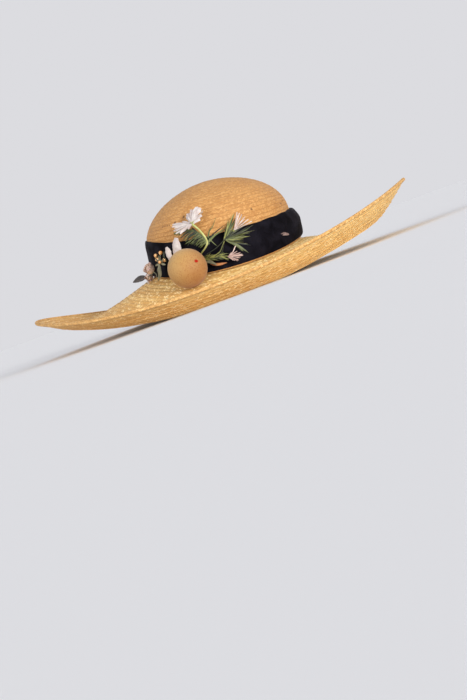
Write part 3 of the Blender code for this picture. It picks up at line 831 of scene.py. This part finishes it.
def fruitMaterial(centre):
    shine = {"Specular IOR Level": 0.3, "Sheen Weight": 0.15}
    made, tree = newMaterial("fruitSkin", (0.85, 0.60, 0.28), 0.62, shine)
    place = put(tree, "NewGeometry")
    inside = put(tree, "VectorMath", {0: place, 1: tuple(centre * mm)}, operation="SUBTRACT")
    slide = put(tree, "VectorMath", {0: inside, 1: fruit["toRight"]}, 1, operation="DOT_PRODUCT")
    warm = slide.spread(-0.018, 0.020, smooth=True)
    colour = blend(warm, fruit["left"], fruit["right"])
    colour = blend(place.noise(70.0, 3.0) * 0.35, colour, fruit["cloud"])
    pores = put(tree, "TexVoronoi", {"Vector": place, "Scale": 640.0})
    fine = place.noise(1100.0)
    dots = pores.spread(0.15, 0.55, 1.0, 0.0, True) * fine.spread(0.40, 0.55)
    colour = blend(dots * (warm * 0.40 + 0.60), colour, fruit["dots"])
    return dress(made, colour, fine.spread(0.3, 0.7, 0.72, 0.52), fine + dots * 0.6, 0.35, 0.25 * mm)


def makeFruit():
    centre, radius, (half, wide) = middleOf("fruit"), fruit["radius"], fruit["fleckSize"]
    cloth["fruitSkin"] = fruitMaterial(centre)
    trim = Trim()
    trim.ball(centre, (radius, radius * fruit["squash"]), fruit["axis"], 0, 40, 56, fruit["lumps"], 5)
    way = unit(fruit["fleck"])
    side = unit(np.cross(way, (0.35, 0, 1)))
    path = []
    for s in (1, 0, -1):
        path.append(centre + (way * radius + side * s * half) * (1 + (fruit["fleckRise"] - 1) * (1 - abs(s))))
    trim.blade(path, wide * 2, 0.5, "leaf", 1, 8, 4, ragged=0.25, facing=way)
    trim.finish("fruitBall", "fruitSkin redFleck", "fruit", "fruit", 60)


makeFruit()

# white flower, stem and the two petals behind the fruit: a tip is its place and the width of its petal,
# and a petal behind the fruit is its path and what a blade takes
flower = {
    "heart": (-15.5, -106.5, 84.5),
    "tips": [
        (-36.4, -86.1, 92.4, 2.6), (-33.5, -88.0, 91.2, 2.4), (-37.4, -89.5, 89.6, 2.6),
        (-34.8, -93.0, 88.0, 2.6), (-37.2, -94.5, 85.6, 2.6), (-34.5, -98.5, 84.6, 2.8),
        (-36.2, -98.5, 82.4, 2.4), (-31.6, -103.2, 80.4, 2.8), (-28.0, -104.0, 81.6, 2.6),
        (-25.2, -92.5, 90.6, 2.8), (-19.0, -92.5, 95.8, 4.2), (-16.2, -93.0, 97.2, 4.6),
        (-10.5, -94.5, 99.4, 5.4), (-5.2, -97.5, 100.8, 6.2), (-2.2, -100.3, 98.4, 5.6),
        (-0.8, -103.3, 94.0, 5.6), (-3.4, -106.0, 90.4, 4.4), (-6.4, -110.0, 86.4, 3.4),
        (-22.0, -108.5, 81.6, 2.8),
    ],
    "stem": [
        (-15.5, -107.2, 84.2), (-12.1, -110.8, 78.5), (-9.3, -113.7, 71.8), (-7.7, -114.1, 65.5),
        (-8.0, -113.4, 61.2), (-10.6, -112.0, 57.8), (-16.8, -105.6, 53.6), (-23.5, -98.5, 50.0),
    ],
    "lift": (-0.25, 0.1, 0.95), "facing": (-0.15, -0.85, 0.45), "stamens": 8,
    "petalUpper": [
        ([(-41.5, -88.4, 58), (-41.2, -89.5, 64), (-40.4, -90.5, 70), (-37.4, -91.5, 78.0)], 10.5, 0.4,
         "petal", 0, 14, 6, -0.25, 0.1),
        ([(-43.5, -87.4, 58), (-44, -87.0, 64), (-42.8, -87.5, 69.5)], 5.5, 0.4, "petal", 0, 10, 4, -0.2,
         0.12),
    ],
    "petalLower": [
        ([(-50.4, -80.5, 55.5), (-51.6, -80.4, 61.5), (-51.2, -81.0, 67.5), (-51.0, -80.4, 72.5)], 8.2,
         0.4, "petal", 0, 14, 6, -0.25, 0.12),
        ([(-56.0, -73.8, 57), (-57.0, -74.8, 64.3), (-54.4, -76.2, 69.5)], 2.2, 0.35, "leaf", 1, 9, 2, 0.0,
         0.0),
    ],
}


def makeFlower():
    trim = Trim()
    heart = np.array(flower["heart"])
    lift = np.array(flower["lift"])
    for *tip, wide in flower["tips"]:
        middle = heart + (np.array(tip) - heart) * 0.5 + lift * rng.uniform(0.3, 1.6)
        facing = np.array(flower["facing"]) + 0.28 * rng.normal(size=3)
        trim.blade([heart + lift * 0.4, middle, tip], wide, 0.35, "strap", 0, 14, 4,
                   cup=rng.uniform(-0.3, 0.4), ragged=0.24, facing=facing, curl=rng.uniform(-1.2, 1.4),
                   twist=rng.uniform(-0.5, 0.5))
    for turn in roundTurn(flower["stamens"]):
        way = np.array([math.cos(turn), math.sin(turn) * 0.8, 1.6])
        trim.stem([heart + way * 0.5, heart + way * 1.6], 0.5, 1, 4, 6)
        trim.ball(heart + way * 1.7, (0.5, 0.5), way, 1, 5, 7)
    trim.ball(heart - (0, 0, 0.6), (1.6, 1.4), (0.2, -0.2, 1), 1, 8, 12)
    trim.finish("flowerPetals", "petalWhite stemGreen", "white_flower", "petal_white")
    trim = Trim()
    trim.stem(flower["stem"], 1.7, 0, 30, 10, lambda t: 1.25 - 0.35 * t + 0.25 * max(0, 1 - 9 * t))
    trim.finish("flowerStem", "stemGreen", "flower_stem", "stem_green")


def makePetals():
    for name, finishes in (("Upper", "petalWhite"), ("Lower", "petalWhite needleGreen")):
        trim = Trim()
        for path, *size in flower["petal" + name]:
            trim.blade(path, *size)
        trim.finish("petal" + name, finishes, "petal_" + name.lower(), "petal_white")


makeFlower()
makePetals()
print("hat: flower and petals made")

# greenery: a strand is where it leaves the spine and its tip, and a grass blade ends with its width
green = {
    "spine": [
        (-6.6, -105.6, 59), (-7.2, -105.4, 61.8), (-10.1, -103.9, 68.2), (-13.2, -100.9, 74.3),
        (-17.1, -98.6, 78.3), (-21.5, -96.5, 80.4), (-26.5, -93.8, 82), (-32.5, -89.4, 82.8),
        (-38, -84.4, 82.6),
    ],
    "strands": [
        (0.04, (-13.7, -103.4, 56.2)), (0.09, (-15.7, -102.8, 57.9)), (0.13, (-18.4, -101.6, 60.1)),
        (0.17, (-20.6, -100.2, 61.4)), (0.21, (-22.6, -98.7, 63.4)), (0.25, (-25.0, -97.4, 64.8)),
        (0.29, (-26.7, -96.2, 66.5)), (0.33, (-31.1, -93.9, 67.3)), (0.38, (-30.0, -94.0, 70.0)),
        (0.43, (-31.2, -92.8, 72.8)), (0.49, (-32.6, -91.0, 75.0)), (0.55, (-33.9, -89.0, 77.0)),
        (0.64, (-37.0, -86.5, 79.5)), (0.4, (-19.5, -97.0, 82.6)), (0.56, (-28.5, -92.0, 84.4)),
    ],
    "grass": [
        ((-5.3, -102.7, 66.0), (-1.5, -101.5, 72.2), (3.2, -100.8, 75.4), (9.7, -98.8, 83.3), 1.7),
        ((-6.2, -103.3, 62.8), (0.5, -103.2, 67.2), (7.8, -102.4, 70.0), (14.5, -100.8, 72.2), 1.8),
        ((-6.0, -103.9, 61.8), (1.0, -104.0, 65.4), (8.4, -103.4, 67.4), (14.8, -102.9, 68.5), 2.3),
        ((-4.6, -103.5, 64.8), (-2.2, -104.2, 59.4), (0.4, -105.2, 54.4), 1.2),
    ],
    "node": (10.2, -108.8, 57.9),
    "tips": [
        (26.5, -102.7, 78.1), (21.8, -103.3, 75.6), (28.9, -102.0, 80.0), (30.7, -101.8, 81.3),
        (33.9, -100.0, 79.2), (36.4, -98.9, 75.1), (44.2, -99.9, 62.2), (41.8, -99.7, 66.5),
        (43.4, -102.5, 56.3), (39.5, -104.5, 59.5), (36.8, -107.2, 52.1), (34.1, -106.2, 42.9),
        (32.0, -107.8, 55.0), (38.5, -101.5, 70.0),
    ],
    "darkLeaf": [
        (11.5, -108.2, 57.0), (16.3, -108.4, 53.3), (22.9, -108.4, 45.0), (29.0, -106.4, 36.6),
    ],
    "stems": [
        ((10.2, -108.8, 57.9), (3.8, -108.8, 54.8), (-2.9, -107.3, 52.1), (-15.6, -102.5, 49.4),
         (-24.0, -97.8, 46.5)),
        ((10.0, -108.6, 57.0), (6.6, -109.6, 53.4), (1.3, -109.0, 47.8), (-6.5, -107.2, 45.9),
         (-14.8, -103.6, 46.0), (-22.5, -98.6, 43.5)),
        ((9.6, -108.2, 56.8), (6.0, -107.8, 50.8), (3.3, -108.9, 46.8), (-3.0, -109.6, 44.0)),
    ],
    "pinkBase": (22.5, -109.3, 63.6),
    "pinkTips": [
        (32.6, -102.9, 80.6), (34.6, -103.1, 79.0), (36.5, -102.7, 76.8), (38.8, -103.7, 73.4),
        (41.3, -103.8, 69.4), (44.2, -103.0, 66.4),
    ],
    "darkNeedle": [(20, -107.8, 47), (24.6, -106.8, 39.5)],
}


def makeFeather():
    trim = Trim()
    steps = 60
    spine = smoothLine(green["spine"], steps)
    trim.blade(green["spine"], 3.2, 0.8, "strap", 0, 26, 4, ragged=0.25)
    for at, end in green["strands"]:
        for side in (0, 1):
            start = spine[int((at + 0.025 * side) * steps)]
            tip = np.array(end) + rng.uniform(-0.9, 0.9, 3) + side * np.array([1.8, -0.6, -0.9])
            bend = (start + tip) / 2 + (0, 0, rng.uniform(0.2, 1.8)) + crownOut(start) * (0.6 + 1.3 * side)
            trim.blade([start, bend, tip], 1.5, twist=rng.uniform(-0.4, 0.4))
    trim.finish("featherLeaf", "featherGreen", "feather_leaf", "needle_green")


def makeGrass():
    trim = Trim()
    for *path, wide in green["grass"]:
        trim.blade([pushed(p, 0.5) for p in path], wide, stations=12, twist=0.8)
    trim.finish("grassBlades", "featherGreen", "grass_blades", "needle_green")


def makeUpperSprig():
    trim = Trim()
    node = np.array(green["node"])
    out = crownOut(node)
    for index, tip in enumerate(green["tips"]):
        reach = np.array(tip) - node
        bow = unit(np.cross(reach, out)) * rng.uniform(-0.9, 0.9)
        for layer in (0, 1, 2):
            jitter = rng.uniform(-2.1, 2.1, 3) * layer * 0.8
            start = node + reach * 0.03 + jitter * 0.2
            end = tip - reach * 0.12 * layer + jitter
            middle = (start + end) / 2 + bow + out * (0.5 + 1.2 * layer)
            wide, slot = 1.4 - 0.1 * layer, (index + layer) % 2
            trim.blade([start, middle, end], wide, 0.4, "grass", slot, 9, twist=rng.uniform(-0.9, 0.9))
    trim.blade(green["darkLeaf"], 2.6, 0.5, "leaf", 1, 12, 4, cup=0.2)
    trim.blade([node, *green["darkNeedle"]], 1.4, 0.4, "needle", 1, 9)
    for path in green["stems"]:
        trim.stem(path, 1.0, 0, 16, 7)
    trim.ball(node, (1.3, 2.0), (0.6, 0, 0.8), 0, 8, 12, 0.08)
    trim.finish("upperSprig", "needleGreen featherGreen", "sprig_upper", "needle_green")


def makeUpperBrush():
    trim = Trim()
    base = np.array(green["pinkBase"])
    for tip in green["pinkTips"]:
        for layer in (0, 1):
            end = tip + rng.uniform(-1.3, 1.3, 3) * layer - (tip - base) * 0.14 * layer
            start = base + rng.uniform(-0.5, 0.5, 3)
            middle = (start + end) / 2 + crownOut(base) * (0.6 + 0.7 * layer) + rng.uniform(-0.4, 0.4, 3)
            trim.blade([start, middle, end], 1.0 - 0.4 * layer, 0.3, "strap", 2 * (1 - layer), ragged=0.15,
                       twist=rng.uniform(-0.6, 0.6))
    trim.stem([green["node"], (16.5, -109.6, 60.4), base], 0.8, 1, 8, 6)
    trim.ball(base, (0.9, 1.3), (0.9, 0, 0.45), 1, 7, 10, 0.05)
    trim.finish("upperBrush", "petalPink needleGreen petalWhite", "brush_flower_upper", "petal_pink")


lowerSprig = {
    "stem": [
        (-21.0, -99.4, 46.5), (-15.0, -104.0, 46.0), (-8.5, -108.0, 44.8), (-1.5, -111.2, 43.3),
        (7.5, -113.6, 40.6),
    ],
    "tuft": (7.5, -113.8, 40.0),
    "tips": [
        (21.9, -114.0, 35.2), (20.9, -113.6, 39.5), (22.3, -113.4, 37.4), (16.3, -115.2, 33.3),
        (18.6, -115.0, 34.2), (12.9, -114.8, 33.2), (17.8, -112.9, 42.3), (19.8, -115.6, 36.9),
        (15.0, -116.5, 38.0), (14.5, -113.0, 43.5),
    ],
    "longStrand": [(13.5, -112.5, 42.5), (18.8, -110.3, 47.9)],
    "greenLeaf": [(-17.0, -102.6, 44.0), (-11.5, -107.4, 41.0), (-6.4, -110.4, 35.8)],
    "amber": [(-13.0, -104.6, 39.0), (-4.6, -110.0, 35.8), (4.2, -111.6, 34.4)], "needles": 34,
    "needleLength": (7.0, 11.0),
}


def makeLowerSprig():
    trim = Trim()
    stem = smoothLine(lowerSprig["stem"], 40)
    trim.stem(lowerSprig["stem"], 1.2, 0, 18, 7)
    for k in range(lowerSprig["needles"]):
        at = 3 + int(k * 0.95)
        start, ahead = stem[at], unit(stem[at + 1] - stem[at])
        out = crownOut(start)
        side = np.cross(ahead, out) * (1 if k % 2 else -1)
        length = rng.uniform(*lowerSprig["needleLength"])
        tip = start + ahead * length + side * rng.uniform(1.8, 5.2) + out * rng.uniform(-0.4, 1.2)
        middle = start + ahead * length * 0.5 + side * rng.uniform(1.2, 2.6) + out * 0.7
        slot = 3 if k % 3 == 1 else 0
        trim.blade([start, middle, tip], 1.15, 0.4, "grass", slot, twist=rng.uniform(-0.6, 0.6))
    trim.blade(lowerSprig["greenLeaf"], 3.4, 0.35, "leaf", 1, 10, 4, 0.2, 0.1)
    trim.blade(lowerSprig["amber"], 2.8, 0.4, "leaf", 2, 10, 4, 0.2, 0.15)
    trim.finish("lowerSprig", "needleGreen oliveGreen amberPetal featherGreen", "sprig_lower", "needle_green")


def makeLowerBrush():
    trim = Trim()
    base = np.array(lowerSprig["tuft"])
    for tip in lowerSprig["tips"]:
        for layer in (0, 1, 2):
            end = tip + rng.uniform(-1.0, 1.0, 3) * (0.4 + layer)
            middle = (base + end) / 2 + crownOut(base) * rng.uniform(0.2, 1.6) + rng.uniform(-0.5, 0.5, 3)
            start = base + rng.uniform(-0.5, 0.5, 3)
            trim.blade([start, middle, end], 0.55, 0.3, "strap", min(layer, 1), ragged=0.2)
    trim.blade([base, *lowerSprig["longStrand"]], 1.0, 0.3, "strap", 0, 9)
    trim.finish("lowerBrush", "petalPink roseMauve", "brush_flower_lower", "petal_pink")


makeFeather()
makeGrass()
makeUpperSprig()
makeUpperBrush()
makeLowerSprig()
makeLowerBrush()
print("hat: greenery made")

# berries and the pod below them
berries = {
    "radius": 2.15, "calyx": (-62.6, -69.5, 59.5),
    "leaves": [
        ((-63, -69, 58.5), (-64.5, -67.5, 62.5), (-66.4, -64.8, 66.5), 2.6),
        ((-62, -71, 58.5), (-59.6, -75.4, 60.5), (-57.2, -78.9, 61.4), 2.4),
        ((-62, -71, 57.5), (-59.8, -76.4, 56.8), (-57.6, -79.9, 55.2), 2.6),
        ((-63, -70, 60), (-62.3, -72, 63.5), (-61.0, -74.0, 67.0), 2.4),
        ((-63, -68, 58), (-66.4, -65.6, 58.5), (-69.0, -61.8, 58.0), 2.2),
    ],
    "pod": [(-64.6, -68.5, 58.5), (-66.0, -71.5, 53.5), (-67.5, -70.4, 47.8), (-72.0, -61.8, 42.0)],
    "fifth": (-63.2, -74.4, 60.0), "deep": (0.58, 0.22, 0.045), "pale": (0.84, 0.52, 0.23),
}


def berryMaterial():
    coat = {"Coat Weight": 0.4, "Coat Roughness": 0.15}
    made, tree = newMaterial("berrySkin", (0.80, 0.42, 0.14), 0.3, coat)
    cloud = put(tree, "NewGeometry").noise(420.0, 3.0)
    share = cloud.spread(0.35, 0.65, smooth=True)
    colour = blend(share, berries["deep"], berries["pale"])
    return dress(made, colour, cloud.spread(0.3, 0.7, 0.22, 0.42), cloud, 0.2, 0.2 * mm)


def makeBerries():
    cloth["berrySkin"] = berryMaterial()
    calyx, radius = np.array(berries["calyx"]), berries["radius"]
    stalks = Trim()
    for number in (1, 2, 3, 4):
        node = f"berry_{number}"
        centre = middleOf(node)
        way = unit(centre - calyx)
        trim = Trim()
        trim.ball(centre, (radius, radius * 1.06), way, 0, 12, 18, 0.02, number)
        trim.ball(centre + way * radius, (0.5, 0.35), way, 1, 5, 8)
        trim.finish(f"berry{number}", "berrySkin oliveGreen", node, "berry_orange", 60)
        stalks.stem([calyx, (calyx + centre) / 2 + crownOut(calyx) * 0.6, centre], 0.8, 0, 8, 6)
    for *path, wide in berries["leaves"]:
        stalks.blade([pushed(p, 0.6) for p in path], wide, 0.4, "leaf", 0, 9, 4, cup=0.3)
    stalks.ball(calyx, (2.0, 2.6), (0, 0.2, 1), 0, 8, 10, 0.1)
    stalks.ball(berries["fifth"], (1.7, 1.8), (-0.3, -0.9, 0.2), 1, 10, 14, 0.02, 9)
    stalks.finish("berryCalyx", "oliveGreen berrySkin", "berry_calyx", "olive_green")
    trim = Trim()
    trim.blade(berries["pod"], 6.4, 1.6, "leaf", 0, 16, 6, cup=0.18)
    trim.finish("olivePod", "oliveGreen", "olive_leaf", "olive_green")


# rosebuds, dark leaf and the petal on the ribbon; a loose petal's point and how far it is pushed out
buds = {
    "foot": (-72.2, -62.4, 45.5), "fork": (2.5, -7.0, 1.0), "leafFacing": (0.0, -0.75, 0.66),
    "loose": [((-80.6, -33.0, 48.0), 2.5), ((-81.1, -33.9, 45.2), 3.5), ((-79.5, -35.4, 42.6), 4.5)],
    "bandPath": ((-3.6, -3.9, 0.6), (0.0, -0.4, 0.5), (3.2, 3.6, -0.8)),
    "bandPetals": (((0, 0, -0.6), 3.2), ((-1.4, -1.2, 1.2), 1.8)),
}


def addRosebud(trim, centre, radius, axis, turns, key):
    # a core wrapped in cupped petals
    axis = unit(axis)
    side = unit(np.cross(axis, (0.2, 0.3, 1)))
    other = np.cross(axis, side)
    source = np.random.default_rng(key)
    trim.ball(centre, (radius * 0.72, radius * 0.85), axis, 0, 9, 14, 0.08, key)
    for k in range(turns):
        late = k / turns
        grow = 0.78 + 0.24 * late
        way = around(side, other, 2.4 * k + source.uniform(-0.2, 0.2))
        lift = (-0.85, -0.3, 0.35, 1.0 - 0.4 * late)
        reach = (0.25, 0.92 * grow, 0.95 * grow, 0.5 + 0.75 * late)
        path = [centre + (axis * up + way * off) * radius for up, off in zip(lift, reach)]
        trim.blade(path, radius * 1.5, 0.4, "petal", k % 2, 12, 6, cup=-0.42, ragged=0.14, facing=way,
                   curl=source.uniform(-0.2, 0.9))


def makeBuds():
    upper, lower = middleOf("rosebud_upper"), middleOf("rosebud_lower")
    trim = Trim()
    addRosebud(trim, upper, 5.9, (-0.45, -0.55, 0.6), 9, 21)
    trim.stem([upper - (0, 0, 2), upper + (4.5, -9.5, -6.5), buds["foot"]], 0.9, 2, 10, 6)
    trim.finish("rosebudUpper", "rosePink roseMauve oliveGreen", "rosebud_upper", "rose_pink")
    trim = Trim()
    addRosebud(trim, lower, 4.5, (-0.35, -0.65, -0.5), 7, 22)
    fork = lower + buds["fork"]
    trim.stem([lower, fork, upper + (1.5, 1.0, -5.0)], 0.9, 3, 10, 6)
    loose = [pushed(point, off) for point, off in buds["loose"]]
    trim.stem([fork, (fork + loose[0]) / 2 + (0, 0, 1.0), loose[0]], 0.8, 3, 8, 6)
    trim.blade(loose, 3.0, 0.35, "petal", 2, 8, 4, cup=0.2, ragged=0.2)
    trim.finish("rosebudLower", "rosePink roseMauve petalWhite oliveGreen", "rosebud_lower", "rose_pink")


def makeDarkLeaf():
    low, high = cornersOf("dark_leaf")
    centre = (low + high) / 2
    root = np.array([high[0], centre[1] - 1.0, centre[2] + 0.2])
    tip = np.array([low[0], centre[1] + 1.0, centre[2] - 0.4])
    trim, facing = Trim(), buds["leafFacing"]
    trim.blade([root, centre + (0, 0, 1.2), tip], 9.0, 0.5, "leaf", 0, 16, 6, -0.15, 0.06, facing=facing)
    trim.blade([root, centre + (0, 0, 1.3), tip + (0.8, 0, 0)], 0.7, 0.9, "grass", 0, 12, facing=facing)
    trim.finish("darkLeaf", "darkLeafCloth", "dark_leaf", "dark_leaf")


def makeBandPetal():
    trim, middle = Trim(), middleOf("band_petal")
    for shift, wide in buds["bandPetals"]:
        path = [pushed(middle + point + shift, 0.2) for point in buds["bandPath"]]
        trim.blade(path, wide, 0.4, "petal", 0, 9, 4, 0.25, 0.2)
    # its pink is painted darker, as painted shade
    trim.finish("bandPetal", "shadedPetal", "band_petal", "petal_pink")


makeBerries()
makeBuds()
makeDarkLeaf()
makeBandPetal()
print("hat: berries and buds made")

# loose straw ends at the brim's edge: angle in degrees, length in mm, rise
strayEnds = {
    "places": [
        (43, 5, 0.3), (16, 3, -0.2), (71, 3, 0.5), (118, 4, 0.2), (166, 3, -0.4), (203, 3, 0.3),
        (238, 2.5, -0.3), (291, 2.5, 0.4), (327, 3, -0.2), (349, 2.5, 0.4),
    ],
    "outside": 1.2 * mm, "above": 0.6 * mm,
}


def makeStrayEnds():
    trim = Trim()
    for degrees, length, rise in strayEnds["places"]:
        a = math.radians(degrees)
        radius, height = curveOf("edgeRadius", a), curveOf("edgeHeight", a)
        start = polar(0, radius + strayEnds["outside"], a, height + strayEnds["above"]) / mm
        out, along = np.array([math.cos(a), math.sin(a), rise]), np.array([-math.sin(a), math.cos(a), 0])
        bend, tip = (out * 0.8 + along * 0.6) * 0.5, (out * 0.75 + along) * 0.8
        trim.blade([start, start + bend * length, start + tip * length], 0.7, 0.2, stations=6)
    trim.finish("strayEnds", "strawEdge", None, "straw")


makeStrayEnds()

# floor, light and air
studio = {
    "floor": (0.850, 0.852, 0.870), "floorSize": 150.0,
    "low": (0.715, 0.715, 0.745), "high": (0.60, 0.605, 0.625), "lowUpTo": 0.25, "highFrom": 0.9,
    "lights": {
        "sun": {"from": (0.50, -0.84, 0.08), "power": 4.0, "angle": 20, "colour": (1.0, 0.985, 0.955)},
        "fill": {"from": (-0.70, -0.70, 0.07), "power": 2.3, "angle": 50, "colour": (1.0, 0.99, 0.97)},
    },
}


def makeStudio():
    size, pale = studio["floorSize"], studio["floor"]
    mesh = bpy.data.meshes.new("floor")
    corners = [(-size, -size, 0), (size, -size, 0), (size, size, 0), (-size, size, 0)]
    mesh.from_pydata(corners, [], [(0, 1, 2, 3)])
    made, tree = newMaterial("floorPaper", pale, 0.9, {"Specular IOR Level": 0.0})
    colour = blend(put(tree, "NewGeometry").noise(1.5, 1.0), tuple(0.99 * part for part in pale), pale)
    colour.to(tree.nodes["Principled BSDF"].inputs["Base Color"])
    mesh.materials.append(made)
    newObject("floor", mesh)
    for name, look in studio["lights"].items():
        light = bpy.data.lights.new(name, "SUN")
        light.energy, light.angle, light.color = look["power"], math.radians(look["angle"]), look["colour"]
        lamp = newObject(name, light)
        lamp.rotation_euler = Vector(look["from"]).to_track_quat("Z", "Y").to_euler()
    world = bpy.data.worlds.new("air")
    world.use_nodes = True
    height = separate(put(world.node_tree, "TexCoord", None, "Generated"))[2]
    share = height.spread(studio["lowUpTo"], studio["highFrom"], smooth=True)
    blend(share, studio["low"], studio["high"]).to(world.node_tree.nodes["Background"].inputs[0])
    scene.world = world
    scene.view_settings.view_transform = "Standard"


makeStudio()
print("hat: studio lit")
